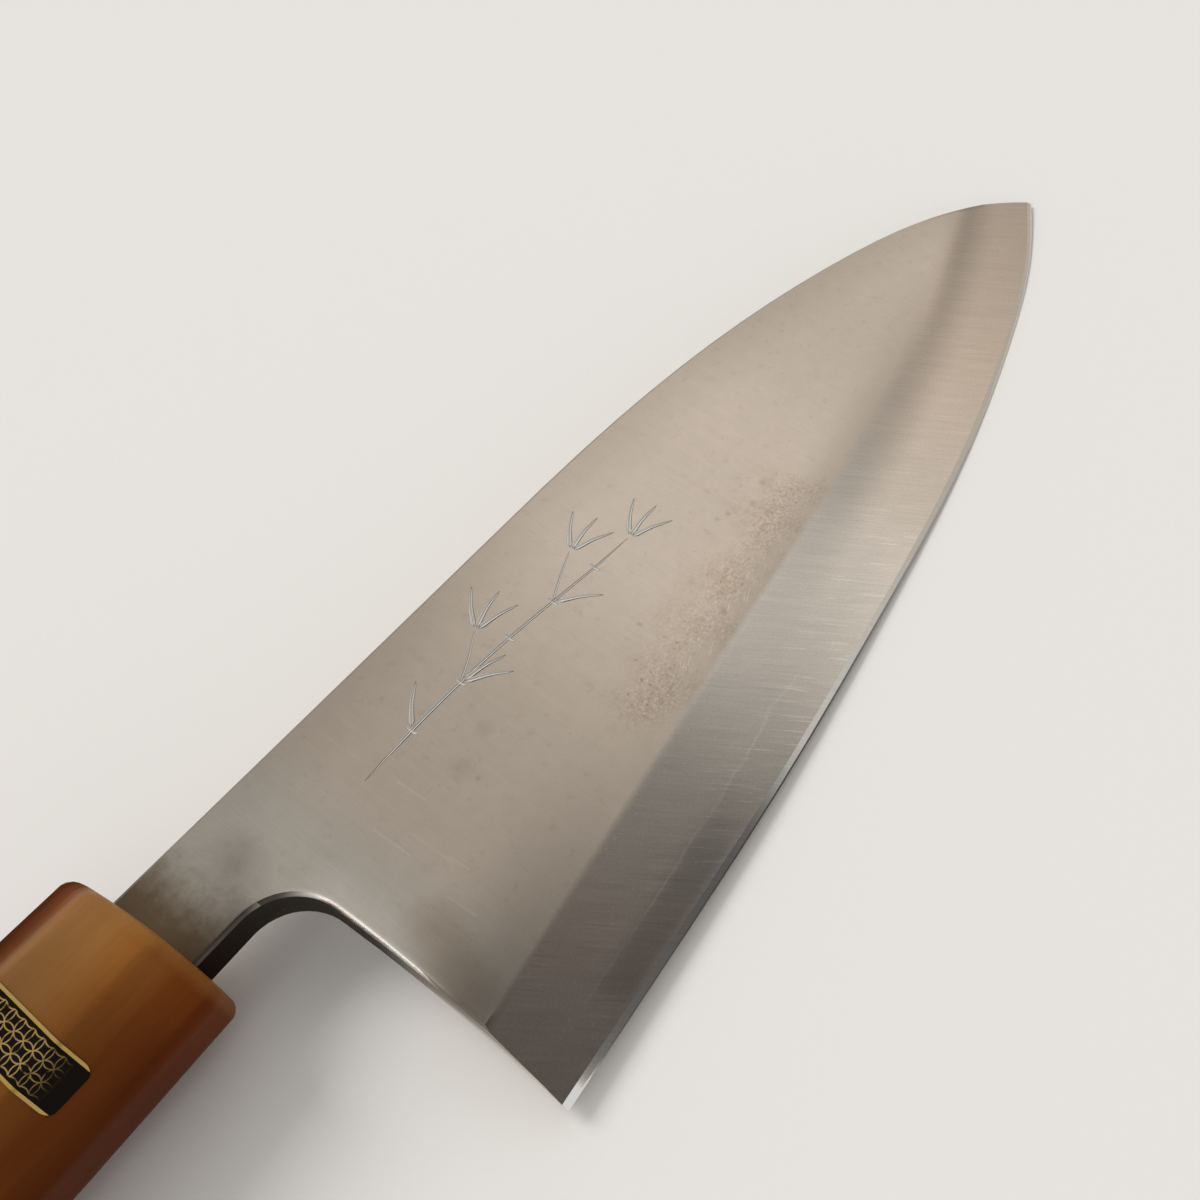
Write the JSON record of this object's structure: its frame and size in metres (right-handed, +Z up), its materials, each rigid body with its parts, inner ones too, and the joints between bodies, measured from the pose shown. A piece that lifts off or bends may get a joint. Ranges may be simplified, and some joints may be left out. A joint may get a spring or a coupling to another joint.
{
  "type": "deba knife",
  "caption": "Single-bevel Japanese kitchen knife for fish: wide hollow-backed blade of steel and iron, octagonal wooden handle with an amber ferrule.",
  "frame": {"origin": "on the table, under the middle of the lying knife's bounding box", "axes": "+X along the knife from the butt to the tip, +Y from the edge to the spine, +Z up from the table, out of the bevelled side. The knife lies on its flat side, on the belly of the edge and the ferrule's lower corner, and leans 6.4 degrees so"},
  "size_m": [0.3158, 0.0622, 0.0276],
  "materials": {
    "blade_iron": "satin ground, fine scratches across the blade, light patina",
    "blade_steel": "stone-ground, hazy, with a bright honed edge",
    "ferrule": "amber, slightly translucent, softly polished",
    "handle": "bare sanded magnolia wood",
    "foil_band": "black foil with a gold border and a plain gold pattern"
  },
  "bodies": {
    "root": {"blade_iron": "blade_iron", "blade_steel": "blade_steel", "ferrule": "ferrule", "handle": "handle", "foil_band": "foil_band"}
  },
  "joints": []
}
